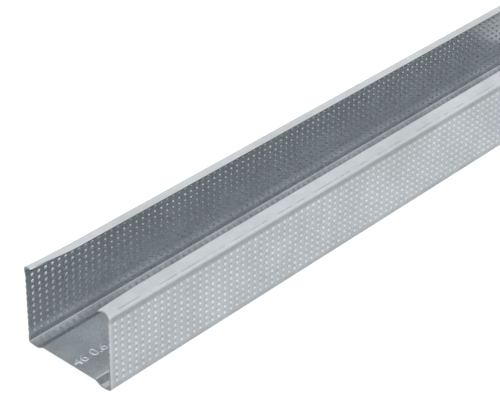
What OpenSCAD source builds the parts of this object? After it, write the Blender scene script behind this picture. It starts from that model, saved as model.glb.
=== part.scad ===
// Drywall metal stud: a C profile rolled from one strip of galvanised steel sheet. It lies on its web
// with the open side up. X runs along the stud, Y across the web and Z up. The origin is under the
// middle of the web, at mid length, level with the feet of the two web grooves that the stud rests on.

/* [Stud] */
// Length of the stud between its two sheared ends
stud_length = 2500; // [600:50:6000]
// Width of the web over the outer faces of the two flanges
web_width = 46.5; // [44:0.5:150]
// Height of a flange, from the level of the web's outer corner to the top of the lip
flange_height = 36; // [25:0.1:60]
// Width of the lip turned inward at the top of a flange, with its bend
lip_width = 6; // [4:0.1:12]
// Thickness of the sheet
sheet_t = 0.6; // [0.4:0.05:1]

/* [Bends] */
// Inside radius of the bend between web and flange
web_bend_r = 0.8; // [0.3:0.1:1.5]
// Inside radius of the bend between flange and lip
lip_bend_r = 2.5; // [0.3:0.1:3]
// Inside radius of the shallow bends at the foot and at the top of a groove's wall
groove_bend_r = 0.7; // [0.2:0.1:1]

/* [Web grooves] */
// From the outer face of a flange to the flat foot of the groove beside it
groove_inset = 3.4; // [3:0.1:8]
// Width of the flat foot that the stud rests on
foot_width = 2.2; // [0.8:0.1:4]
// How far the sheet falls from the web's outer corner to the foot
groove_fall = 0.4; // [0.1:0.05:1]
// Width that the sloping wall of a groove takes on its way up to the middle panel
wall_run = 3; // [1.5:0.1:5]
// Height of the flat middle panel above the foot
panel_rise = 1.5; // [0.5:0.1:3]

/* [Service openings] */
// Length of a round-ended opening for pipes and cables
opening_length = 50; // [30:1:100]
// Width of the opening across the web
opening_width = 25; // [10:1:28]
// Distance between the centres of neighbouring openings
opening_pitch = 600; // [200:50:1200]
// Shortest plain length from an end of the stud to the centre of the first opening
opening_end = 300; // [100:50:600]

/* [Hidden] */

// Largest turn of one flat step round a bend, in degrees
step_angle = 11.25;
// How far the cutters reach past the faces they cut
cut_past = 1;
// Sides of the round ends of an opening
opening_fn = 64;

// Middle plane of the sheet, from which both faces are offset
half_t = sheet_t / 2;
flange_y = web_width / 2 - half_t;
lip_tip_y = web_width / 2 - lip_width;
lip_z = groove_fall + flange_height - half_t;
corner_z = groove_fall + half_t;
foot_outer_y = web_width / 2 - groove_inset;
foot_inner_y = foot_outer_y - foot_width;
panel_edge_y = foot_inner_y - wall_run;
panel_z = panel_rise + half_t;

web_bend = web_bend_r + half_t;
lip_bend = lip_bend_r + half_t;
groove_bend = groove_bend_r + half_t;

// Half of the section from the lip's tip to the middle panel, as [corner in Y and Z, radius of its bend]
half_section = [
    [[lip_tip_y, lip_z], 0],
    [[flange_y, lip_z], lip_bend],
    [[flange_y, corner_z], web_bend],
    [[foot_outer_y, half_t], groove_bend],
    [[foot_inner_y, half_t], groove_bend],
    [[panel_edge_y, panel_z], groove_bend],
];
last_corner = len(half_section) - 1;
mirrored_half = [
    for (i = [last_corner:-1:0])
        [[-half_section[i][0].x, half_section[i][0].y], half_section[i][1]]
];
section = concat(half_section, mirrored_half);

opening_span = max(0, stud_length - 2 * opening_end);
opening_count = floor(opening_span / opening_pitch) + 1;
first_opening_x = -(opening_count - 1) * opening_pitch / 2;

// Direction from a to b in degrees
function heading(a, b) = atan2(b.y - a.y, b.x - a.x);

// Turn from one heading to the next, positive to the left, between -180 and 180 degrees
function turn(from, to) = (to - from + 540) % 360 - 180;

// Point a given distance to the left of p, seen along a heading
function left_of(p, along, distance) = p + distance * [-sin(along), cos(along)];

// Points round the bend at corner b, on the face a given distance to the left of the middle plane
function bend_points(a, b, c, bend_r, distance) =
    let (
        before = heading(a, b),
        angle = turn(before, heading(b, c)),
        run_in = bend_r * tan(abs(angle) / 2),
        start = b - run_in * [cos(before), sin(before)],
        centre = left_of(start, before, sign(angle) * bend_r),
        steps = ceil(abs(angle) / step_angle)
    )
    [
        for (i = [0:steps])
            left_of(centre, before + angle * i / steps, distance - sign(angle) * bend_r)
    ];

// One face of the sheet, from one lip's tip to the other's
function face_points(run, distance) =
    let (
        last = len(run) - 1,
        first_heading = heading(run[0][0], run[1][0]),
        last_heading = heading(run[last - 1][0], run[last][0])
    )
    concat(
        [left_of(run[0][0], first_heading, distance)],
        [
            for (i = [1:last - 1])
                each bend_points(run[i - 1][0], run[i][0], run[i + 1][0], run[i][1], distance)
        ],
        [left_of(run[last][0], last_heading, distance)]
    );

function reversed(points) = [for (i = [len(points) - 1:-1:0]) points[i]];

// Cross-section of the sheet in the plane across the stud
module sheet_section() {
    polygon(concat(face_points(section, half_t), reversed(face_points(section, -half_t))));
}

// Cutter for one round-ended opening, standing up through the middle panel
module opening_cutter() {
    end_r = opening_width / 2;
    between_ends = max(0, opening_length - opening_width);
    cut_h = sheet_t + 2 * cut_past;
    translate([0, 0, panel_rise - cut_past]) {
        translate([-between_ends / 2, -end_r, 0]) cube([between_ends, opening_width, cut_h]);
        for (side = [-1, 1])
            translate([side * between_ends / 2, 0, 0]) cylinder(h = cut_h, r = end_r, $fn = opening_fn);
    }
}

// The whole stud, one piece of sheet
module stud() {
    color("silver")
        difference() {
            translate([-stud_length / 2, 0, 0])
                rotate([90, 0, 90])
                    linear_extrude(height = stud_length)
                        sheet_section();
            for (i = [0:opening_count - 1])
                translate([first_opening_x + i * opening_pitch, 0, 0]) opening_cutter();
        }
}

stud();
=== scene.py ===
# %% [markdown]
# A drywall metal stud is one strip of galvanised steel, knurled with small dents, rolled to a C section
# and sheared to length. It lies on its web with the open side up.
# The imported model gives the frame: X runs along the stud, Y across the web and Z up, in metres. It is
# loaded first, and its box is kept, because everything made here has to stay inside it.

# %% The frame and its box
import math

import bmesh
import bpy
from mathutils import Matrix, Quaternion, Vector


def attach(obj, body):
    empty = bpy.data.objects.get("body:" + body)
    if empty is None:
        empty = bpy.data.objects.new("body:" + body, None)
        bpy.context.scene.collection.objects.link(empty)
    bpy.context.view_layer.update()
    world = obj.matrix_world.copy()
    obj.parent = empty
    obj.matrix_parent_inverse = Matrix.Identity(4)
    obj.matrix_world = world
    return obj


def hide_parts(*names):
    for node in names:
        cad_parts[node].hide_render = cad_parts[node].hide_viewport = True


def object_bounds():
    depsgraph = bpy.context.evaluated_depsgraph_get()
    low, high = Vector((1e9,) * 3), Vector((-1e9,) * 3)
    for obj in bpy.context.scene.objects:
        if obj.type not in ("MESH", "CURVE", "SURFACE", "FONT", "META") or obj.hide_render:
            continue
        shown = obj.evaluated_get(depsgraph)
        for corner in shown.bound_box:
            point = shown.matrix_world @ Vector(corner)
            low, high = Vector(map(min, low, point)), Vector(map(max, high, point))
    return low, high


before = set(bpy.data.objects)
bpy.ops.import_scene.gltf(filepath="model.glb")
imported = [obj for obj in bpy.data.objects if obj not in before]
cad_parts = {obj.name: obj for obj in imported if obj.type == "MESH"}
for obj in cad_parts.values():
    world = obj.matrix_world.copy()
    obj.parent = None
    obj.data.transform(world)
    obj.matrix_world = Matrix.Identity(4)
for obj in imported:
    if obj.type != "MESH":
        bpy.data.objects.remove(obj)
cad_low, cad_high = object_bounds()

MM = 0.001
SAME = 0.01 * MM  # two lengths nearer than this are the same
print("solid box in mm:", [round((b - a) / MM, 2) for a, b in zip(cad_low, cad_high)])

# %% [markdown]
# The camera comes first, so that every later step can be looked at. It stands in front of the stud's
# near end, on the side of the near flange, and looks down along the stud. A long lens keeps the two
# flanges almost parallel. Its place is measured from the near lower corner of the front end.

# %% The camera
CAMERA_HEADING = math.radians(41.87)
CAMERA_DIP = math.radians(32.81)
CAMERA_ROLL = math.radians(0.89)
CAMERA_FROM_CORNER = Vector((-0.3849, -0.4135, 0.4479))
CAMERA_LENS = 136.8

front_corner = Vector((cad_low.x, cad_low.y, 0))
looks_along = Vector(
    (
        math.cos(CAMERA_HEADING) * math.cos(CAMERA_DIP),
        math.sin(CAMERA_HEADING) * math.cos(CAMERA_DIP),
        -math.sin(CAMERA_DIP),
    )
)
bpy.ops.object.camera_add(location=front_corner + CAMERA_FROM_CORNER)
camera = bpy.context.object
camera.name = "camera"
camera.rotation_mode = "QUATERNION"
camera.rotation_quaternion = looks_along.to_track_quat("-Z", "Y") @ Quaternion((0, 0, 1), CAMERA_ROLL)
camera.data.lens = CAMERA_LENS
camera.data.clip_start = 0.01
bpy.context.scene.camera = camera
print("camera at", [round(c, 3) for c in camera.location])

# %% [markdown]
# The section is the one thing that every part of the stud shares, so its sizes are set here once.
# They are those of the solid model. The outer face of the sheet is modelled first, as a thin skin,
# and the thickness is given to it afterwards, because a sheet has the same gauge everywhere.

# %% Sizes of the section
SHEET = 0.6 * MM
LIP_WIDTH = 6.0 * MM
LIP_BEND = 3.1 * MM  # outside radius
WEB_BEND = 1.1 * MM  # outside radius
GROOVE_BEND = 1.0 * MM  # radius at the middle of the sheet
GROOVE_INSET = 3.4 * MM
FOOT_WIDTH = 2.2 * MM
GROOVE_FALL = 0.4 * MM
WALL_RUN = 3.0 * MM
PANEL_RISE = 1.5 * MM
HALF_WIDTH = cad_high.y
TOP = cad_high.z
print("web", round(2 * HALF_WIDTH / MM, 2), "mm, top at", round(TOP / MM, 2), "mm")

# %% [markdown]
# The knurl is a square-cut grid of small dents, ten rows high on each flange. On the real stud a
# toothed roller presses them from outside, so that the inner face shows a bump behind every dent. The
# bump is a little smaller than its dent, because the thickness of the sheet blunts it.

# %% Sizes of the knurl
ROWS = 10
ROW_PITCH = 2.9 * MM
COLUMN_PITCH = 3.5 * MM
FIRST_ROW = 4.75 * MM  # height of the lowest row's middle
FIRST_COLUMN = -0.25 * MM  # the shear cuts through the first column
DENT_SIDES = 6
DENT_RIM = 1.3 * MM  # radius
DENT_FLOOR = 0.46 * MM  # radius
DENT_DEPTH = 0.66 * MM
BUMP_RIM = 0.92 * MM  # radius
BUMP_TOP = 0.37 * MM  # radius
BUMP_HEIGHT = 0.5 * MM
PANEL_INSET = 0.3 * MM  # the knurled panel lies a little behind the bends
print("knurl:", ROWS, "rows, grid in mm:", round(COLUMN_PITCH / MM, 2), "by", round(ROW_PITCH / MM, 2))

# %% [markdown]
# In edit mode an operator acts on what is selected. By hand that is a click, and in a script it is a
# test: every point is asked for its place, or every face for the way it looks. These helpers do that
# for all the steps below.


# %% Helpers: select by place, in edit mode
def select_where(piece, test):
    """Selects the points whose place passes the test, with the edges and faces between them."""
    mesh = bmesh.from_edit_mesh(piece.data)
    mesh.select_mode = {"VERT"}
    for point in mesh.verts:
        point.select = test(point.co)
    mesh.select_flush_mode()
    bmesh.update_edit_mesh(piece.data)


def select_faces(piece, test):
    """Selects the faces that pass the test."""
    mesh = bmesh.from_edit_mesh(piece.data)
    mesh.select_mode = {"FACE"}
    for face in mesh.faces:
        face.select = test(face)
    mesh.select_flush_mode()
    bmesh.update_edit_mesh(piece.data)


def near(a, b):
    """True where two lengths are the same."""
    return abs(a - b) < SAME


# %% [markdown]
# One dent starts as two six-sided rings in a rectangle of flat sheet, the rim and the floor: a circle
# of six sides is inset once, and its outline is drawn out to the rectangle. With so few faces,
# thousands of dents stay light, and smooth shading inside a crisp rim makes each one look round. The
# rings are drawn flat here and pressed later, when the sheet has its two faces.

# %% One dent in its rectangle of sheet
panel_y = -HALF_WIDTH + PANEL_INSET
slice_x = cad_low.x + FIRST_COLUMN
cell_middle = (slice_x, panel_y, FIRST_ROW)
half_cell_x = COLUMN_PITCH / 2
half_cell_z = ROW_PITCH / 2
half_side = math.pi / DENT_SIDES  # the angle that half of one of the six sides takes up

bpy.ops.object.select_all(action="DESELECT")
bpy.ops.mesh.primitive_circle_add(
    vertices=DENT_SIDES,
    radius=DENT_RIM,
    fill_type="NGON",
    location=cell_middle,
    rotation=(math.radians(90), 0, 0),
)
stud_slice = bpy.context.object
stud_slice.name = "stud_slice"
bpy.ops.object.transform_apply(location=True, rotation=True, scale=True)
bpy.ops.object.mode_set(mode="EDIT")


def from_middle(co):
    return math.hypot(co.x - slice_x, co.z - FIRST_ROW)


bpy.ops.mesh.select_all(action="SELECT")
# The inset is measured square to the six sides.
side_step = (DENT_RIM - DENT_FLOOR) * math.cos(half_side)
bpy.ops.mesh.inset(thickness=side_step)
select_where(stud_slice, lambda co: near(from_middle(co), DENT_RIM))
bpy.ops.mesh.mark_sharp()
bpy.ops.mesh.extrude_edges_move(TRANSFORM_OT_translate={"value": (0, 0, 0)})
# The four side points of the six go to the cell's corners. The top and bottom ones are taken out.
side_x = DENT_RIM * math.cos(half_side)
side_z = DENT_RIM * math.sin(half_side)
bpy.ops.transform.resize(
    value=(half_cell_x / side_x, 1, half_cell_z / side_z), center_override=cell_middle
)
select_where(stud_slice, lambda co: abs(co.z - FIRST_ROW) > half_cell_z + SAME)
bpy.ops.mesh.dissolve_verts()
bpy.ops.object.mode_set(mode="OBJECT")
print("one dent:", len(stud_slice.data.vertices), "points,", len(stud_slice.data.polygons), "faces")


# %% [markdown]
# Ten dents above each other make the knurled part of one slice of flange. An Array modifier copies
# the first one upward, and merges the rows where they touch.


# %% A column of dents
MERGE_DISTANCE = 0.02 * MM


def repeat(piece, count, step):
    """Repeats a piece along a step with an Array modifier, and merges what touches."""
    array = piece.modifiers.new("repeat", "ARRAY")
    array.count = count
    array.use_relative_offset = False
    array.use_constant_offset = True
    array.constant_offset_displace = step
    array.use_merge_vertices = True
    array.merge_threshold = MERGE_DISTANCE
    bpy.ops.object.modifier_apply(modifier=array.name)


repeat(stud_slice, ROWS, (0, 0, ROW_PITCH))
print("column:", len(stud_slice.data.polygons), "faces")

# %% [markdown]
# The rest of the section is rolled on from the column's two open edges, the way the strip goes
# through the roller stands: a straight run is an extrusion of the open edge, and a bend is a spin
# about the bend's own axis. The roller keeps the place and the heading of the edge it works on.
# The spin operator turns clockwise about its axis, so a left turn spins about minus X.

# %% The roller
BEND_STEP = math.radians(15)


class Roller:
    """Rolls sheet on from the selected edge of a piece, in the plane across the stud."""

    def __init__(self, y, z, heading):
        self.y = y
        self.z = z
        self.heading = heading

    def run(self, length):
        """Goes straight on."""
        step_y = length * math.cos(self.heading)
        step_z = length * math.sin(self.heading)
        bpy.ops.mesh.extrude_region_move(TRANSFORM_OT_translate={"value": (0, step_y, step_z)})
        self.y += step_y
        self.z += step_z

    def bend(self, turn, radius):
        """Turns left by a positive angle or right by a negative one, round a bend of that radius."""
        side = math.copysign(1, turn)
        # A whole number of steps stays that number where the division comes out a hair too large.
        steps = math.ceil(abs(turn) / BEND_STEP - 0.01)
        centre_y = self.y - side * radius * math.sin(self.heading)
        centre_z = self.z + side * radius * math.cos(self.heading)
        bpy.ops.mesh.spin(
            steps=steps,
            angle=abs(turn),
            center=(slice_x, centre_y, centre_z),
            axis=(-side, 0, 0),
        )
        self.heading += turn
        self.y = centre_y + side * radius * math.sin(self.heading)
        self.z = centre_z - side * radius * math.cos(self.heading)


# %% [markdown]
# Above the knurl the flange runs up to the lip's bend. These millimetres lean out to the full width,
# in a few short runs that steepen, because the roller leaves the bend a little proud of the panel. The
# bend turns a quarter circle inward and ends in the flat lip.

# %% Upper flange and lip
LEAN_STEPS = 4
knurl_top = FIRST_ROW + (ROWS - 0.5) * ROW_PITCH
lip_bend_z = TOP - LIP_BEND

bpy.ops.object.mode_set(mode="EDIT")
select_where(stud_slice, lambda co: near(co.z, knurl_top))
upward = Roller(panel_y, knurl_top, math.radians(90))
for step in range(LEAN_STEPS):
    share = (step + 1) / LEAN_STEPS
    next_y = panel_y - PANEL_INSET * share**2
    next_z = knurl_top + (lip_bend_z - knurl_top) * share
    upward.heading = math.atan2(next_z - upward.z, next_y - upward.y)
    upward.run(math.hypot(next_y - upward.y, next_z - upward.z))
upward.heading = math.radians(90)
upward.bend(math.radians(-90), LIP_BEND)
upward.run(LIP_WIDTH - LIP_BEND)
print("lip ends at", [round(v / MM, 3) for v in (upward.y, upward.z)])

# %% [markdown]
# Below the knurl the flange turns into the web. The web falls a little to the foot of a groove, rises
# by a sloping wall and goes on flat to the middle of the stud. The corners are given where the middle
# of the sheet would meet without a bend, and each run is what is left between two bends.

# %% Web bend, groove and panel
half_sheet = SHEET / 2
corners = [
    (-HALF_WIDTH + PANEL_INSET + half_sheet, FIRST_ROW - half_cell_z, 0),
    (-HALF_WIDTH + PANEL_INSET + half_sheet, GROOVE_FALL + half_sheet, WEB_BEND - half_sheet),
    (-HALF_WIDTH + GROOVE_INSET, half_sheet, GROOVE_BEND),
    (-HALF_WIDTH + GROOVE_INSET + FOOT_WIDTH, half_sheet, GROOVE_BEND),
    (-HALF_WIDTH + GROOVE_INSET + FOOT_WIDTH + WALL_RUN, PANEL_RISE + half_sheet, GROOVE_BEND),
    (0, PANEL_RISE + half_sheet, 0),
]


def heading_to(a, b):
    return math.atan2(b[1] - a[1], b[0] - a[0])


select_where(stud_slice, lambda co: near(co.z, FIRST_ROW - half_cell_z))
downward = Roller(panel_y, FIRST_ROW - half_cell_z, math.radians(-90))
used_before = 0
for i in range(1, len(corners)):
    before, here = corners[i - 1], corners[i]
    turn = heading_to(here, corners[i + 1]) - heading_to(before, here) if i + 1 < len(corners) else 0
    used_here = here[2] * math.tan(abs(turn) / 2)
    downward.run(math.dist(before[:2], here[:2]) - used_before - used_here)
    if turn:
        downward.bend(turn, here[2] + math.copysign(half_sheet, turn))
    used_before = used_here
bpy.ops.object.mode_set(mode="OBJECT")
print("web reaches", [round(v / MM, 3) for v in (downward.y, downward.z)])

# %% [markdown]
# The two sides of the stud are alike, so the slice is mirrored over its middle plane. The two halves
# merge along the middle of the web, and then the faces are made to agree on their outer side.


# %% The far side
def face_outward(piece):
    """Makes the faces of an open skin agree, with the lip's top facing up."""
    bpy.ops.object.mode_set(mode="EDIT")
    bpy.ops.mesh.select_all(action="SELECT")
    bpy.ops.mesh.normals_make_consistent(inside=False)
    bpy.ops.object.mode_set(mode="OBJECT")
    top = max(piece.data.polygons, key=lambda face: face.center.z)
    if top.normal.z < 0:
        bpy.ops.object.mode_set(mode="EDIT")
        bpy.ops.mesh.flip_normals()
        bpy.ops.object.mode_set(mode="OBJECT")


mirror = stud_slice.modifiers.new("far_side", "MIRROR")
mirror.use_axis = (False, True, False)
mirror.use_mirror_merge = True
mirror.merge_threshold = MERGE_DISTANCE
# The mirror plane goes through the object's origin, which the applied transform left at Y = 0.
bpy.ops.object.modifier_apply(modifier=mirror.name)
face_outward(stud_slice)
print("slice:", len(stud_slice.data.vertices), "points,", len(stud_slice.data.polygons), "faces")

# %% [markdown]
# The slice gets the sheet's thickness, inward from the outer face. Then the rings are pressed: on the
# outer face the floor goes in, and on the inner face both rings are drawn closer and the top comes out.
# A blunt punch on real sheet raises a bump that is smaller and rounder than the dent it makes.


# %% Thickness, dents and bumps
def thicken(piece):
    """Gives the skin the sheet's thickness, inward from the outer face."""
    solid = piece.modifiers.new("sheet", "SOLIDIFY")
    solid.thickness = SHEET
    solid.offset = -1
    solid.use_even_offset = True
    bpy.ops.object.modifier_apply(modifier=solid.name)


def press_ring(piece, middle, radius, new_radius, push):
    """Gives a ring of points around a middle its new radius, and pushes it across the sheet."""
    select_where(
        piece,
        lambda co: near(co.y, middle[1]) and near(math.hypot(co.x - middle[0], co.z - middle[2]), radius),
    )
    size = new_radius / radius
    bpy.ops.transform.resize(value=(size, 1, size), center_override=middle)
    bpy.ops.transform.translate(value=(0, push, 0))


thicken(stud_slice)
bpy.ops.object.mode_set(mode="EDIT")
for side in (-1, 1):
    for row in range(ROWS):
        row_z = FIRST_ROW + row * ROW_PITCH
        outer_middle = (slice_x, side * (HALF_WIDTH - PANEL_INSET), row_z)
        inner_middle = (slice_x, side * (HALF_WIDTH - PANEL_INSET - SHEET), row_z)
        press_ring(stud_slice, inner_middle, DENT_RIM, BUMP_RIM, 0)
        press_ring(stud_slice, inner_middle, DENT_FLOOR, BUMP_TOP, -side * BUMP_HEIGHT)
        press_ring(stud_slice, outer_middle, DENT_FLOOR, DENT_FLOOR, -side * DENT_DEPTH)
bpy.ops.object.mode_set(mode="OBJECT")
print("thick slice:", len(stud_slice.data.vertices), "points")

# %% [markdown]
# The whole stud is about seven hundred slices long. One mesh of that size would be too heavy to keep
# as a single file, so it is made in five equal lengths that meet face to face between two columns.
# The walls that closed the two sides of the slice are taken out, because the next slice goes on there.
# Each length repeats the slice and is closed again at its two ends, by a face or by the shear.

# %% Open the slice's sides
bpy.ops.object.mode_set(mode="EDIT")
select_faces(stud_slice, lambda face: abs(face.normal.x) > 0.99)
bpy.ops.mesh.delete(type="ONLY_FACE")
bpy.ops.object.mode_set(mode="OBJECT")
print("open slice:", len(stud_slice.data.polygons), "faces")

# %% Lengths of knurled sheet
LENGTHS = 5
SHEARED_DEPTH = 0.35  # depth of a dent at the sheared front end, against a whole one
first_edge = slice_x - half_cell_x
slices = math.ceil((cad_high.x - first_edge) / COLUMN_PITCH)


def shear(piece, x, keep_right):
    """Cuts a piece across at x, throws one side away and closes the cut."""
    bpy.ops.object.mode_set(mode="EDIT")
    bpy.ops.mesh.select_all(action="SELECT")
    bpy.ops.mesh.bisect(
        plane_co=(x, 0, 0),
        plane_no=(1, 0, 0),
        threshold=SAME / 10,
        use_fill=True,
        clear_inner=keep_right,
        clear_outer=not keep_right,
    )
    bpy.ops.object.mode_set(mode="OBJECT")


def close_end(piece, x):
    """Closes an open end at x with one face."""
    bpy.ops.object.mode_set(mode="EDIT")
    select_where(piece, lambda co: near(co.x, x))
    bpy.ops.mesh.edge_face_add()
    bpy.ops.object.mode_set(mode="OBJECT")


def shallow(piece, before_x):
    """Flattens the dents and bumps that lie before x, where the shear's blade pressed on them."""
    bpy.ops.object.mode_set(mode="EDIT")
    for side in (-1, 1):
        outer_y = side * (HALF_WIDTH - PANEL_INSET)
        inner_y = outer_y - side * SHEET
        for skin_y, depth in ((outer_y, DENT_DEPTH), (inner_y, BUMP_HEIGHT)):
            select_where(
                piece,
                lambda co: co.x < before_x
                and FIRST_ROW - half_cell_z < co.z < knurl_top
                and near(co.y, skin_y - side * depth),
            )
            flatter = (1, SHEARED_DEPTH, 1)
            bpy.ops.transform.resize(value=flatter, center_override=(before_x, skin_y, 0))
    bpy.ops.object.mode_set(mode="OBJECT")


lengths = []
start = 0
for number in range(1, LENGTHS + 1):
    end = round(slices * number / LENGTHS)
    bpy.ops.object.select_all(action="DESELECT")
    stud_slice.select_set(True)
    bpy.context.view_layer.objects.active = stud_slice
    bpy.ops.object.duplicate()
    length = bpy.context.object
    length.name = f"stud_length_{number}"
    bpy.ops.transform.translate(value=(start * COLUMN_PITCH, 0, 0))
    bpy.ops.object.transform_apply(location=True, rotation=False, scale=False)
    repeat(length, end - start, (COLUMN_PITCH, 0, 0))
    if number == 1:
        shallow(length, first_edge + COLUMN_PITCH)
        shear(length, cad_low.x, True)
    else:
        close_end(length, first_edge + start * COLUMN_PITCH)
    if number == LENGTHS:
        shear(length, cad_high.x, False)
    else:
        close_end(length, first_edge + end * COLUMN_PITCH)
    bpy.ops.object.mode_set(mode="EDIT")
    bpy.ops.mesh.select_all(action="SELECT")
    bpy.ops.mesh.normals_make_consistent(inside=False)
    bpy.ops.object.mode_set(mode="OBJECT")
    lengths.append(length)
    start = end
bpy.data.objects.remove(stud_slice)
for length in lengths:
    length.data.calc_loop_triangles()
    print(length.name, len(length.data.loop_triangles), "triangles")

# %% [markdown]
# The blade of the shear also drags the lips at the front end. The far lip is pushed outward, so that
# it is narrower there and its bend is tighter. The tip of the near lip hangs a little lower. Both
# fade out over the first centimetres. Each ring of points across the stud is moved by its own share.

# %% Lips at the sheared end
DRAG_REACH = 23 * MM
DRAG_FADE = 1.5  # power by which the drag fades along its reach
FAR_LIP_SHARE = 0.53  # of the lip's full size, at the shear
NEAR_LIP_DROP = 1.0 * MM


def drag_lips(piece):
    """Tightens the far lip and lowers the near lip's tip towards the front end."""
    rings = [cad_low.x]
    while rings[-1] < cad_low.x + DRAG_REACH:
        rings.append(first_edge + COLUMN_PITCH * len(rings))
    bend_y = HALF_WIDTH - LIP_BEND
    bend_z = TOP - LIP_BEND

    def outside(co):
        if co.y < bend_y:
            return co.z > TOP - half_sheet
        return math.hypot(co.y - bend_y, co.z - bend_z) > LIP_BEND - half_sheet

    bpy.ops.object.mode_set(mode="EDIT")
    for x in rings[:-1]:
        drag = (1 - (x - cad_low.x) / DRAG_REACH) ** DRAG_FADE
        size = 1 - (1 - FAR_LIP_SHARE) * drag
        for on_outside, inset in ((True, 0), (False, SHEET)):
            select_where(
                piece,
                lambda co: near(co.x, x)
                and co.y > 0
                and co.z > bend_z - SAME
                and outside(co) == on_outside,
            )
            bpy.ops.transform.resize(
                value=(1, size, size), center_override=(x, HALF_WIDTH - inset, TOP - inset)
            )
        select_where(
            piece,
            lambda co: near(co.x, x)
            and near(co.y, LIP_WIDTH - HALF_WIDTH)
            and co.z > bend_z,
        )
        bpy.ops.transform.translate(value=(0, 0, -NEAR_LIP_DROP * drag))
    bpy.ops.object.mode_set(mode="OBJECT")


bpy.ops.object.select_all(action="DESELECT")
lengths[0].select_set(True)
bpy.context.view_layer.objects.active = lengths[0]
drag_lips(lengths[0])
print("lips dragged over", round(DRAG_REACH / MM, 1), "mm")

# %% [markdown]
# Numbers are pressed into the web by the front end. They are plain size marks here: the width of the
# stud and the thickness of its sheet in millimetres. They are text, turned into a mesh and joined to
# the sheet, because they are part of it.

# %% Pressed numbers
NUMBER_HEIGHT = 4.6 * MM
NUMBER_RISE = 0.26 * MM
NUMBER_ROUND = 0.36 * MM  # radius of the pressed strokes' edge
CAPITAL_SHARE = 0.7  # height of a number, against the size that its font is given
NUMBERS_Y = -4.2 * MM
WEB_TOP = PANEL_RISE + SHEET


def press_number(piece, text, from_end):
    """Raises a number on the web that starts so far from the front end and runs along the stud."""
    bpy.ops.object.select_all(action="DESELECT")
    bpy.ops.object.text_add(location=(cad_low.x + from_end, NUMBERS_Y, WEB_TOP))
    number = bpy.context.object
    number.data.body = text
    number.data.size = NUMBER_HEIGHT / CAPITAL_SHARE
    number.data.offset = -NUMBER_ROUND / 2
    number.data.bevel_depth = NUMBER_ROUND
    number.data.bevel_resolution = 2
    number.data.resolution_u = 4
    bpy.ops.object.convert(target="MESH")
    # Half of the round edge stands above the web. It is flattened to the rise of a pressed number.
    number.scale.z = NUMBER_RISE / NUMBER_ROUND
    bpy.ops.object.transform_apply(location=True, rotation=True, scale=True)
    piece.select_set(True)
    bpy.context.view_layer.objects.active = piece
    bpy.ops.object.join()


press_number(lengths[0], "46", 0.8 * MM)
press_number(lengths[0], "0.6", 9.5 * MM)
print(lengths[0].name, "reaches", [round(c / MM, 2) for c in lengths[0].dimensions])

# %% [markdown]
# Service openings are punched through the web's middle panel, so that pipes and cables can cross the
# stud. The cutter is a straight-sided slot with round ends: the two halves of a filled circle are
# pulled apart in edit mode and extruded, and a Boolean modifier takes the shape out of the sheet.

# %% Service openings
OPENING_LENGTH = 50 * MM
OPENING_WIDTH = 25 * MM
OPENING_PITCH = 600 * MM
OPENINGS = 4
OPENING_POINTS = 64  # round the two ends together
CUTTER_HEIGHT = 4 * MM


def punch(piece, x):
    """Punches one round-ended opening through the web of a piece."""
    bpy.ops.object.select_all(action="DESELECT")
    bpy.ops.mesh.primitive_circle_add(
        vertices=OPENING_POINTS,
        radius=OPENING_WIDTH / 2,
        fill_type="NGON",
        location=(x, 0, PANEL_RISE + half_sheet - CUTTER_HEIGHT / 2),
    )
    cutter = bpy.context.object
    bpy.ops.object.transform_apply(location=True, rotation=True, scale=True)
    bpy.ops.object.mode_set(mode="EDIT")
    pull = (OPENING_LENGTH - OPENING_WIDTH) / 2
    for side in (-1, 1):
        select_where(cutter, lambda co: side * (co.x - x) > SAME)
        bpy.ops.transform.translate(value=(side * pull, 0, 0))
    bpy.ops.mesh.select_all(action="SELECT")
    bpy.ops.mesh.extrude_region_move(TRANSFORM_OT_translate={"value": (0, 0, CUTTER_HEIGHT)})
    bpy.ops.mesh.select_all(action="SELECT")
    bpy.ops.mesh.normals_make_consistent(inside=False)
    bpy.ops.object.mode_set(mode="OBJECT")
    bpy.ops.object.select_all(action="DESELECT")
    piece.select_set(True)
    bpy.context.view_layer.objects.active = piece
    cut = piece.modifiers.new("opening", "BOOLEAN")
    cut.operation = "DIFFERENCE"
    cut.object = cutter
    cut.solver = "FAST"
    bpy.ops.object.modifier_apply(modifier=cut.name)
    bpy.data.objects.remove(cutter)


opening_places = [(i - (OPENINGS - 1) / 2) * OPENING_PITCH for i in range(OPENINGS)]
stud_length = cad_high.x - cad_low.x
for x in opening_places:
    length = lengths[int((x - cad_low.x) / stud_length * LENGTHS)]
    punch(length, x)
    print("opening at", round(x, 3), "in", length.name)

# %% [markdown]
# Smooth shading hides the few faces of each dent and bend. The rims of the dents were marked as sharp
# when they were made. The cut edges of the sheet turn by more than the angle below and stay crisp too.

# %% Shading
CRISP_ANGLE = math.radians(50)

for length in lengths:
    bpy.ops.object.select_all(action="DESELECT")
    length.select_set(True)
    bpy.context.view_layer.objects.active = length
    bpy.ops.object.shade_smooth_by_angle(angle=CRISP_ANGLE)
print("smooth up to", round(math.degrees(CRISP_ANGLE)), "degrees")

# %% [markdown]
# Galvanised steel is bare metal with a thin coat of zinc. Its colour is the colour of what it mirrors,
# dimmed and slightly blue. The coat is made of small zinc crystals, each a shade lighter or darker than
# the next, over a wider mottle. The rolling mill leaves fine lines along the strip. All of these are
# patterns in the piece's own coordinates, kept in one group, so that every length of the sheet gets the
# same coat and the pattern runs on from one length to the next.


# %% Node helpers
def add_node(tree, kind, **settings):
    """Adds a node to a tree. A setting sets a property of the node."""
    node = tree.nodes.new(kind)
    for name, value in settings.items():
        setattr(node, name, value)
    return node


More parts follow.
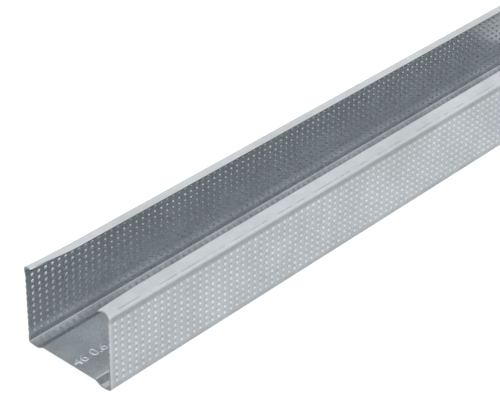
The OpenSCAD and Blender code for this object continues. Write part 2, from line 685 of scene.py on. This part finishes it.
def math_node(tree, operation, first, second=None, third=None):
    """Adds a Math node. Each operand is a number or the output of another node."""
    node = add_node(tree, "ShaderNodeMath", operation=operation)
    for socket, operand in zip(node.inputs, (first, second, third)):
        if isinstance(operand, (int, float)):
            socket.default_value = operand
        elif operand is not None:
            tree.links.new(operand, socket)
    return node.outputs[0]


def map_range(tree, value, low, high, to_low, to_high):
    """Adds a smooth step from one range to another."""
    node = add_node(tree, "ShaderNodeMapRange", interpolation_type="SMOOTHSTEP")
    tree.links.new(value, node.inputs["Value"])
    node.inputs["From Min"].default_value = low
    node.inputs["From Max"].default_value = high
    node.inputs["To Min"].default_value = to_low
    node.inputs["To Max"].default_value = to_high
    return node.outputs["Result"]


def new_group(name, outputs):
    """Makes a node group with the named value outputs."""
    group = bpy.data.node_groups.new(name, "ShaderNodeTree")
    for output in outputs:
        group.interface.new_socket(output, in_out="OUTPUT", socket_type="NodeSocketFloat")
    group.nodes.new("NodeGroupOutput")
    return group


def group_output(group, name, value):
    group.links.new(value, group.nodes["Group Output"].inputs[name])


# %% The zinc coat
MOTTLE_SCALE = 45  # patches to the metre
MOTTLE_TONE = (0.94, 1.05)  # darkest and lightest patch, against the zinc's colour
MOTTLE_ROUGHNESS = (0.30, 0.24)  # of the darkest and the lightest patch
SPANGLE_SCALE = 420  # crystals to the metre
SPANGLE_TONE = 0.05  # from the darkest crystal to the lightest
SPANGLE_ROUGHNESS = 0.04
MILL_LINE_SCALE = (12, 900, 900)  # long along the stud, fine across it
MILL_LINE_HEIGHT = 0.004 * MM
SPANGLE_HEIGHT = 0.001 * MM
WAVE_HEIGHT = 0.05 * MM  # the wide, faint waves of thin sheet


def zinc_coat():
    """Tone, roughness and height of the zinc coat, in the piece's own coordinates."""
    group = new_group("zinc_coat", ("Tone", "Roughness", "Height"))
    place = add_node(group, "ShaderNodeTexCoord")
    mottle = add_node(group, "ShaderNodeTexNoise")
    mottle.inputs["Scale"].default_value = MOTTLE_SCALE
    mottle.inputs["Detail"].default_value = 3
    mottle.inputs["Roughness"].default_value = 0.6
    group.links.new(place.outputs["Object"], mottle.inputs["Vector"])
    spangle = add_node(group, "ShaderNodeTexVoronoi")
    spangle.inputs["Scale"].default_value = SPANGLE_SCALE
    group.links.new(place.outputs["Object"], spangle.inputs["Vector"])
    crystal = add_node(group, "ShaderNodeSeparateColor")
    group.links.new(spangle.outputs["Color"], crystal.inputs["Color"])
    stretch = add_node(group, "ShaderNodeMapping")
    stretch.inputs["Scale"].default_value = MILL_LINE_SCALE
    group.links.new(place.outputs["Object"], stretch.inputs["Vector"])
    lines = add_node(group, "ShaderNodeTexNoise")
    lines.inputs["Scale"].default_value = 1
    lines.inputs["Detail"].default_value = 2
    group.links.new(stretch.outputs["Vector"], lines.inputs["Vector"])
    mottle_tone = map_range(group, mottle.outputs["Fac"], 0.3, 0.7, *MOTTLE_TONE)
    crystal_low = 1 - SPANGLE_TONE / 2
    crystal_tone = math_node(group, "MULTIPLY_ADD", crystal.outputs["Red"], SPANGLE_TONE, crystal_low)
    group_output(group, "Tone", math_node(group, "MULTIPLY", mottle_tone, crystal_tone))
    mottle_rough = map_range(group, mottle.outputs["Fac"], 0.3, 0.7, *MOTTLE_ROUGHNESS)
    smoothest = -SPANGLE_ROUGHNESS / 2
    crystal_rough = math_node(group, "MULTIPLY_ADD", crystal.outputs["Green"], SPANGLE_ROUGHNESS, smoothest)
    group_output(group, "Roughness", math_node(group, "ADD", mottle_rough, crystal_rough))
    line_height = math_node(group, "MULTIPLY", lines.outputs["Fac"], MILL_LINE_HEIGHT)
    crystal_height = math_node(group, "MULTIPLY", crystal.outputs["Blue"], SPANGLE_HEIGHT)
    wave_height = math_node(group, "MULTIPLY", mottle.outputs["Fac"], WAVE_HEIGHT)
    fine_height = math_node(group, "ADD", line_height, crystal_height)
    group_output(group, "Height", math_node(group, "ADD", fine_height, wave_height))
    return group


# %% [markdown]
# Where the sheet was sheared or slit, the zinc is torn and the bare steel is duller and darker. The
# ends of the stud and the edges of the two lips are found by their place, in the piece's own
# coordinates, so the mark is right from every side.


# %% Cut edges
CUT_REACH = 0.15 * MM


def own_place(group):
    """The piece's own X, Y and Z, as three outputs."""
    place = add_node(group, "ShaderNodeTexCoord")
    axes = add_node(group, "ShaderNodeSeparateXYZ")
    group.links.new(place.outputs["Object"], axes.inputs["Vector"])
    return axes.outputs["X"], axes.outputs["Y"], axes.outputs["Z"]


def product(tree, *factors):
    """Multiplies two or more masks."""
    result = factors[0]
    for factor in factors[1:]:
        result = math_node(tree, "MULTIPLY", result, factor)
    return result


def cut_edges():
    """Is 1 on the sheared ends and on the slit edges of the lips."""
    group = new_group("cut_edges", ("Mask",))
    along, across, height = own_place(group)
    end_distance = math_node(group, "SUBTRACT", cad_high.x, math_node(group, "ABSOLUTE", along))
    end_mask = map_range(group, end_distance, CUT_REACH / 8, CUT_REACH, 1, 0)
    slit_y = HALF_WIDTH - LIP_WIDTH
    inward = math_node(group, "SUBTRACT", math_node(group, "ABSOLUTE", across), slit_y)
    slit_mask = map_range(group, inward, CUT_REACH / 8, CUT_REACH, 1, 0)
    on_lip = math_node(group, "GREATER_THAN", height, TOP - SHEET * 2)
    slit_mask = product(group, slit_mask, on_lip)
    group_output(group, "Mask", math_node(group, "MAXIMUM", end_mask, slit_mask))
    return group


# %% [markdown]
# A roller's edge presses a fine line along each lip's bend, which comes and goes, and its shade is
# painted dark along it. Painted shade darkens the flange's outer side in a band under the bend, and
# more weakly over the web's bend. Painted highlights lighten what sticks out a little: the bend
# between band and line, the last millimetre before the front end, and the tops of the pressed numbers.


# %% Pressed line, painted shade and painted highlights
ROLLER_LINE_Z = TOP - 0.88 * MM
ROLLER_LINE_HALF = 0.14 * MM
LINE_BREAKS_SCALE = 90  # breaks in the line, to the metre
BAND_LOW = 31.4 * MM
BAND_HIGH = 33.9 * MM
WEB_BAND = (2.2 * MM, 3.6 * MM)  # the weaker band of painted shade fades out between these heights
END_HIGHLIGHT = (0.8 * MM, 1.4 * MM)  # the painted highlight fades out at this distance from the front end
SHADE_CHANGE_SCALE = 25  # changes in the painted shade, to the metre


def noise_along(group, along, scale, detail):
    """Noise that changes along the stud only."""
    noise = add_node(group, "ShaderNodeTexNoise", noise_dimensions="1D")
    noise.inputs["Scale"].default_value = scale
    noise.inputs["Detail"].default_value = detail
    group.links.new(along, noise.inputs["W"])
    return noise.outputs["Fac"]


def pressed_line_and_shade():
    """Is near 1 along the pressed line on each lip's bend, in dashes: the line's dip and its painted shade.
    """
    group = new_group("pressed_line_and_shade", ("Mask",))
    along, across, height = own_place(group)
    off_line = math_node(group, "SUBTRACT", height, ROLLER_LINE_Z)
    off_line = math_node(group, "ABSOLUTE", off_line)
    line = map_range(group, off_line, ROLLER_LINE_HALF * 0.4, ROLLER_LINE_HALF, 1, 0)
    dashes = map_range(group, noise_along(group, along, LINE_BREAKS_SCALE, 2), 0.42, 0.56, 0, 1)
    outside = math_node(group, "ABSOLUTE", across)
    outside = math_node(group, "GREATER_THAN", outside, HALF_WIDTH - LIP_BEND)
    group_output(group, "Mask", product(group, line, dashes, outside))
    return group


def number_tops(group, across, height):
    """Is 1 on the upper part of the pressed numbers, where a highlight is painted."""
    top_low = WEB_TOP + NUMBER_RISE * 0.2
    top_high = WEB_TOP + NUMBER_RISE * 0.7
    top = map_range(group, height, top_low, top_high, 0, 1)
    on_web = math_node(group, "LESS_THAN", height, WEB_TOP + NUMBER_RISE * 1.5)
    between_grooves = math_node(group, "LESS_THAN", across, HALF_WIDTH - LIP_WIDTH * 1.5)
    return product(group, top, on_web, between_grooves)


def painted_shade_and_highlights():
    """Mask is 1 where shade is painted on the outer face, and the other output is 1 where highlights are
    painted.
    """
    group = new_group("painted_shade_and_highlights", ("Mask", "Painted highlight"))
    along, across, height = own_place(group)
    across = math_node(group, "ABSOLUTE", across)
    outside = math_node(group, "GREATER_THAN", across, HALF_WIDTH - PANEL_INSET - half_sheet)
    # Painted shade: a band under the lip's bend, and a weaker one over the web's bend.
    upper = map_range(group, height, BAND_LOW - 0.5 * MM, BAND_LOW + 0.5 * MM, 0, 1)
    under = map_range(group, height, BAND_HIGH - 0.3 * MM, BAND_HIGH + 0.3 * MM, 1, 0)
    lower = map_range(group, height, *WEB_BAND, 0.5, 0)
    bands = math_node(group, "ADD", product(group, upper, under), lower)
    shade_change = map_range(group, noise_along(group, along, SHADE_CHANGE_SCALE, 2), 0.3, 0.7, 0.75, 1)
    group_output(group, "Mask", product(group, bands, outside, shade_change))
    # Painted highlights: a strip by the front end, the bend over the band, and the tops of the numbers.
    from_end = math_node(group, "SUBTRACT", along, cad_low.x)
    end_highlight = map_range(group, from_end, *END_HIGHLIGHT, 0.45, 0)
    over_band = map_range(group, height, BAND_HIGH + 0.2 * MM, BAND_HIGH + 0.7 * MM, 0, 0.25)
    under_line = map_range(group, height, ROLLER_LINE_Z - 0.4 * MM, ROLLER_LINE_Z, 1, 0)
    bright = math_node(group, "MAXIMUM", end_highlight, product(group, over_band, under_line))
    bright = product(group, bright, outside)
    bright = math_node(group, "MAXIMUM", bright, number_tops(group, across, height))
    group_output(group, "Painted highlight", bright)
    return group


# %% [markdown]
# The finish puts these together. Zinc is a metal, so all of its look is its colour, how rough it is and
# what it mirrors. The painted shade and highlights make the colour darker or lighter, the pressed line
# is painted darker, the cut edges are bare steel and rougher, and the coat's own height tilts the
# surface a very little, which breaks the reflections up.


# %% Galvanised sheet
ZINC = (0.583, 0.617, 0.640, 1)
BARE_STEEL = (0.42, 0.43, 0.44, 1)
# The colour of the painted shade along the pressed line.
LINE_SHADE = (0.25, 0.26, 0.27, 1)
LINE_SHADE_STRENGTH = 0.6
LINE_DEPTH = 0.03 * MM
PAINTED_SHADE = 0.27  # how much of the colour the painted shade takes away
# How much the painted highlights lighten the colour.
PAINTED_HIGHLIGHT = 0.38
CUT_ROUGHER = 0.2


def galvanised():
    """The one finish of the stud: zinc coat, cut edges, the pressed line, and painted shade and highlights.
    """
    material = bpy.data.materials.new("galvanised_sheet")
    material.use_nodes = True
    tree = material.node_tree
    shader = tree.nodes["Principled BSDF"]
    shader.inputs["Metallic"].default_value = 1
    coat = add_node(tree, "ShaderNodeGroup", node_tree=zinc_coat())
    cut = add_node(tree, "ShaderNodeGroup", node_tree=cut_edges())
    line = add_node(tree, "ShaderNodeGroup", node_tree=pressed_line_and_shade())
    painted_light = add_node(tree, "ShaderNodeGroup", node_tree=painted_shade_and_highlights())
    toned = add_node(tree, "ShaderNodeVectorMath", operation="SCALE")
    toned.inputs[0].default_value = ZINC[:3]
    # Painted shade darkens the tone, and painted highlights lighten it.
    tone = math_node(tree, "MULTIPLY_ADD", painted_light.outputs["Mask"], -PAINTED_SHADE, coat.outputs["Tone"])
    tone = math_node(tree, "MULTIPLY_ADD", painted_light.outputs["Painted highlight"], PAINTED_HIGHLIGHT, tone)
    tree.links.new(tone, toned.inputs["Scale"])
    line_shaded = add_node(tree, "ShaderNodeMix", data_type="RGBA")
    # The pressed line is painted darker, as painted shade.
    line_shade_share = math_node(tree, "MULTIPLY", line.outputs["Mask"], LINE_SHADE_STRENGTH)
    tree.links.new(line_shade_share, line_shaded.inputs["Factor"])
    tree.links.new(toned.outputs["Vector"], line_shaded.inputs["A"])
    line_shaded.inputs["B"].default_value = LINE_SHADE
    bare = add_node(tree, "ShaderNodeMix", data_type="RGBA")
    tree.links.new(cut.outputs["Mask"], bare.inputs["Factor"])
    tree.links.new(line_shaded.outputs["Result"], bare.inputs["A"])
    bare.inputs["B"].default_value = BARE_STEEL
    tree.links.new(bare.outputs["Result"], shader.inputs["Base Color"])
    rough = math_node(tree, "MULTIPLY_ADD", cut.outputs["Mask"], CUT_ROUGHER, coat.outputs["Roughness"])
    tree.links.new(rough, shader.inputs["Roughness"])
    bump = add_node(tree, "ShaderNodeBump")
    bump.inputs["Strength"].default_value = 1
    bump.inputs["Distance"].default_value = 1
    pressed = math_node(tree, "MULTIPLY_ADD", line.outputs["Mask"], -LINE_DEPTH, coat.outputs["Height"])
    tree.links.new(pressed, bump.inputs["Height"])
    tree.links.new(bump.outputs["Normal"], shader.inputs["Normal"])
    return material


sheet_material = galvanised()
for length in lengths:
    length.data.materials.clear()
    length.data.materials.append(sheet_material)
    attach(length, "root")
    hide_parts("stud")
print("finish:", sheet_material.name, "with", len(sheet_material.node_tree.nodes), "nodes")

# %% [markdown]
# The stage is a wide pale floor that runs out of sight under a white surround. The camera sees the
# surround white, and so does the metal, which shows what is around it. The light that the surround
# gives is full from the side that the camera looks towards, and dim from behind the camera, as in a
# studio with one bright wall. The floor looks white through a little glow of its own, which leaves the
# stud's soft shadow on it.

# %% Floor
FLOOR_SIDE = 12.0
FLOOR_COLOUR = (0.86, 0.86, 0.86, 1)
FLOOR_ROUGHNESS = 0.9
FLOOR_GLOW_SEEN = 0.78
FLOOR_GLOW_MIRRORED = 0.38

bpy.ops.object.select_all(action="DESELECT")
bpy.ops.mesh.primitive_plane_add(size=FLOOR_SIDE, location=(0, 0, 0))
floor = bpy.context.object
floor.name = "floor"


def floor_finish():
    """Matt and pale, with a glow that the camera and mirrored rays see."""
    material = bpy.data.materials.new("floor")
    material.use_nodes = True
    tree = material.node_tree
    shader = tree.nodes["Principled BSDF"]
    shader.inputs["Base Color"].default_value = FLOOR_COLOUR
    shader.inputs["Roughness"].default_value = FLOOR_ROUGHNESS
    shader.inputs["Specular IOR Level"].default_value = 0
    shader.inputs["Emission Color"].default_value = (1, 1, 1, 1)
    ray = add_node(tree, "ShaderNodeLightPath")
    seen = math_node(tree, "MAXIMUM", ray.outputs["Is Camera Ray"], ray.outputs["Is Transmission Ray"])
    seen = math_node(tree, "MULTIPLY", seen, FLOOR_GLOW_SEEN)
    glow = math_node(tree, "MULTIPLY_ADD", ray.outputs["Is Glossy Ray"], FLOOR_GLOW_MIRRORED, seen)
    tree.links.new(glow, shader.inputs["Emission Strength"])
    return material


floor.data.materials.append(floor_finish())
print("floor:", FLOOR_SIDE, "m square")

# %% World
SURROUND_FRONT = 1.0
SURROUND_BACK = 0.2
SURROUND_AXIS = (0.98, -0.21, 0)  # the way the bright side lies
SURROUND_EDGE = (0.05, 0.35)  # cosine of the angle from that way, where dim turns to full


def surround():
    """Gives its light from one side, and is plain white to the camera and in metal and glass."""
    world = bpy.data.worlds.new("surround")
    world.use_nodes = True
    tree = world.node_tree
    background = tree.nodes["Background"]
    direction = add_node(tree, "ShaderNodeTexCoord")
    facing = add_node(tree, "ShaderNodeVectorMath", operation="DOT_PRODUCT")
    tree.links.new(direction.outputs["Generated"], facing.inputs[0])
    facing.inputs[1].default_value = SURROUND_AXIS
    level = map_range(tree, facing.outputs["Value"], *SURROUND_EDGE, SURROUND_BACK, SURROUND_FRONT)
    ray = add_node(tree, "ShaderNodeLightPath")
    seen = math_node(tree, "MAXIMUM", ray.outputs["Is Camera Ray"], ray.outputs["Is Glossy Ray"])
    seen = math_node(tree, "MAXIMUM", seen, ray.outputs["Is Transmission Ray"])
    strength = add_node(tree, "ShaderNodeMix", data_type="FLOAT")
    tree.links.new(seen, strength.inputs["Factor"])
    tree.links.new(level, strength.inputs["A"])
    strength.inputs["B"].default_value = 1
    tree.links.new(strength.outputs["Result"], background.inputs["Strength"])
    background.inputs["Color"].default_value = (1, 1, 1, 1)
    return world


bpy.context.scene.world = surround()
print("world:", bpy.context.scene.world.name)

# %% [markdown]
# One large soft lamp stands low on the side of the near flange. It draws the highlight in every dent,
# and is weak, because the surround already gives the light.

# %% Lamp
KEY_FROM_CORNER = Vector((0.32, -1.85, 0.36))
KEY_SIZE = 0.75
KEY_POWER = 0.9


def softbox(name, place, target, size, power):
    """A square lamp that looks at a target."""
    bpy.ops.object.light_add(type="AREA", location=place)
    lamp = bpy.context.object
    lamp.name = name
    lamp.data.shape = "SQUARE"
    lamp.data.size = size
    lamp.data.energy = power
    lamp.rotation_mode = "QUATERNION"
    lamp.rotation_quaternion = (Vector(target) - Vector(place)).to_track_quat("-Z", "Y")
    return lamp


key = softbox("key", front_corner + KEY_FROM_CORNER, front_corner, KEY_SIZE, KEY_POWER)
print("lamp at", [round(c, 3) for c in key.location])

# %% [markdown]
# The standard view shows a colour as it is written.

# %% View settings
bpy.context.scene.view_settings.view_transform = "Standard"
